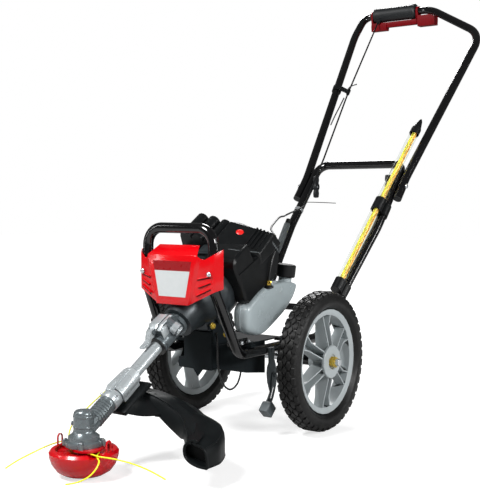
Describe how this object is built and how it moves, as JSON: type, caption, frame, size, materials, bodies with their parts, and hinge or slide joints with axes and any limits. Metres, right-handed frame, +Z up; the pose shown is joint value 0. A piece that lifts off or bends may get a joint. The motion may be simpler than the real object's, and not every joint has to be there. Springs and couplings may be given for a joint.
{
  "type": "walk-behind string trimmer",
  "caption": "Two-wheeled string trimmer with an angled boom and red cutting head in front of an engine, and a folding tube handle behind.",
  "frame": {"origin": "middle of the bounding box at ground level", "axes": "+Z up, the cutting head towards -Y, the operator's left towards +X"},
  "size_m": [0.4778, 1.592, 1.1035],
  "materials": {
    "frame_black": "gloss",
    "pan_black": "satin",
    "bright_steel": "bright",
    "yellow_zinc": "yellow zinc",
    "tyre_black": "matt",
    "wheel_grey": "moulded",
    "cast_grey": "cast",
    "cover_black": "moulded",
    "button_red": "moulded",
    "grip_black": "moulded",
    "tank_grey": "translucent",
    "guard_red": "gloss",
    "bail_red": "moulded",
    "clear_tube": "clear",
    "line_amber": "extruded",
    "line_yellow": "extruded",
    "light_cast": "cast",
    "boom_silver": "satin",
    "head_red": "moulded",
    "pad_grey": "satin"
  },
  "bodies": {
    "frame": {"frame_tube": "frame_black", "belly_pan": "pan_black", "axle": "bright_steel", "axle_nut_left": "yellow_zinc", "axle_nut_right": "yellow_zinc", "lower_handle": "frame_black", "engine_mount": "pan_black", "mount_bolt_front": "yellow_zinc", "mount_bolt_rear": "yellow_zinc", "engine_lead": "tyre_black", "crankcase": "cast_grey", "clutch_housing": "cast_grey", "cylinder": "cast_grey", "muffler": "cast_grey", "cylinder_cover": "cover_black", "air_cleaner_cover": "cover_black", "recoil_housing": "cover_black", "fuel_tank": "tank_grey", "fuel_line": "tyre_black", "front_guard": "guard_red", "guard_screw_left": "bright_steel", "guard_screw_right": "bright_steel", "throttle_cable": "tyre_black", "cable_loom": "tyre_black", "pivot_bolt_left": "bright_steel", "pivot_bolt_right": "bright_steel", "storage_tube": "clear_tube", "storage_clamp_lower": "cover_black", "storage_clamp_upper": "cover_black", "spare_line_a": "line_amber", "spare_line_b": "line_yellow", "coupler": "light_cast", "pedal_quadrant": "pad_grey"},
    "wheel_left": {"tyre_left": "tyre_black", "rim_left": "wheel_grey"},
    "wheel_right": {"tyre_right": "tyre_black", "rim_right": "wheel_grey"},
    "handle": {"upper_handle": "frame_black", "grip_housing": "grip_black", "cable_guide": "cover_black"},
    "bail": {"bail_lever": "bail_red"},
    "fold_knob_left": {"knob_left": "grip_black"},
    "fold_knob_right": {"knob_right": "grip_black"},
    "boom": {"boom_tube": "boom_silver", "gearbox": "cast_grey", "guard_bracket": "light_cast", "debris_guard": "cover_black", "line_cutter": "bright_steel"},
    "shaft": {"drive_shaft": "bright_steel"},
    "head": {"trimmer_head": "head_red", "output_gear": "bright_steel", "line_1": "line_yellow", "line_2": "line_yellow"},
    "latch": {"latch_lever": "light_cast"},
    "clamp_knob": {"coupler_knob": "light_cast"},
    "tank_cap": {"fuel_cap": "cover_black"},
    "button": {"stop_button": "button_red"},
    "starter_grip": {"recoil_grip": "grip_black"},
    "pedal": {"foot_pedal": "pad_grey"},
    "tube_cap": {"storage_cap": "cover_black"}
  },
  "joints": [
    {"name": "wheel_left_spin", "type": "hinge", "parent": "frame", "child": "wheel_left", "pos_m": [0.17506, -0.17486, 0.1524], "axis": [1, 0, 0], "continuous": true},
    {"name": "wheel_right_spin", "type": "hinge", "parent": "frame", "child": "wheel_right", "pos_m": [-0.18234, -0.17486, 0.1524], "axis": [1, 0, 0], "continuous": true},
    {"name": "handle_fold", "type": "hinge", "parent": "frame", "child": "handle", "pos_m": [-0.00364, 0.27954, 0.5372], "axis": [1, 0, 0], "range_deg": [0, 120], "deforming": ["throttle_cable"]},
    {"name": "bail_pull", "type": "hinge", "parent": "handle", "child": "bail", "pos_m": [-0.00364, 0.77306, 1.08052], "axis": [1, 0, 0], "range_deg": [0, 20], "stiffness_Nm_per_rad": 0.4, "springref_deg": -20.05},
    {"name": "fold_knob_left_turn", "type": "hinge", "parent": "frame", "child": "fold_knob_left", "pos_m": [0.11236, 0.27954, 0.5372], "axis": [1, 0, 0], "range_deg": [0, 360]},
    {"name": "fold_knob_right_turn", "type": "hinge", "parent": "frame", "child": "fold_knob_right", "pos_m": [-0.11964, 0.27954, 0.5372], "axis": [1, 0, 0], "range_deg": [0, 360]},
    {"name": "boom_release", "type": "slide", "parent": "frame", "child": "boom", "axis": [0, -0.848, -0.5299], "range_m": [0, 0.05]},
    {"name": "head_spin", "type": "hinge", "parent": "boom", "child": "head", "pos_m": [-0.00364, -0.72286, 0], "axis": [0, 0, 1], "continuous": true, "deforming": ["line_2"]},
    {"name": "shaft_spin", "type": "hinge", "parent": "boom", "child": "shaft", "pos_m": [-0.00364, -0.72286, 0.0815], "axis": [0, 0.848, 0.5299], "continuous": true},
    {"name": "latch_lift", "type": "hinge", "parent": "frame", "child": "latch", "pos_m": [-0.00964, -0.52787, 0.24048], "axis": [-1, 0, 0], "range_deg": [0, 40]},
    {"name": "clamp_knob_turn", "type": "hinge", "parent": "frame", "child": "clamp_knob", "pos_m": [0.01036, -0.49218, 0.25394], "axis": [0.7071, 0.3747, -0.5997], "range_deg": [0, 360]},
    {"name": "tank_cap_turn", "type": "hinge", "parent": "frame", "child": "tank_cap", "pos_m": [0.07836, -0.17089, 0.33325], "axis": [0.116, 0.041, 0.9924], "range_deg": [0, 360]},
    {"name": "button_press", "type": "slide", "parent": "frame", "child": "button", "axis": [-0.3822, 0.5206, -0.7635], "range_m": [0, 0.0025], "stiffness_N_per_m": 700, "springref_m": -0.001},
    {"name": "starter_pull", "type": "slide", "parent": "frame", "child": "starter_grip", "axis": [0, 0.848, 0.5299], "range_m": [0, 0.4], "stiffness_N_per_m": 12, "springref_m": -0.4},
    {"name": "pedal_press", "type": "hinge", "parent": "frame", "child": "pedal", "pos_m": [0.1078, -0.26386, 0.127], "axis": [1, 0, 0], "range_deg": [0, 25]},
    {"name": "tube_cap_pull", "type": "slide", "parent": "frame", "child": "tube_cap", "axis": [0.0639, 0.671, 0.7387], "range_m": [0, 0.03]}
  ],
  "couplings": [
    {"joint": "shaft_spin", "follows": "head_spin", "ratio": -1.3333}
  ]
}
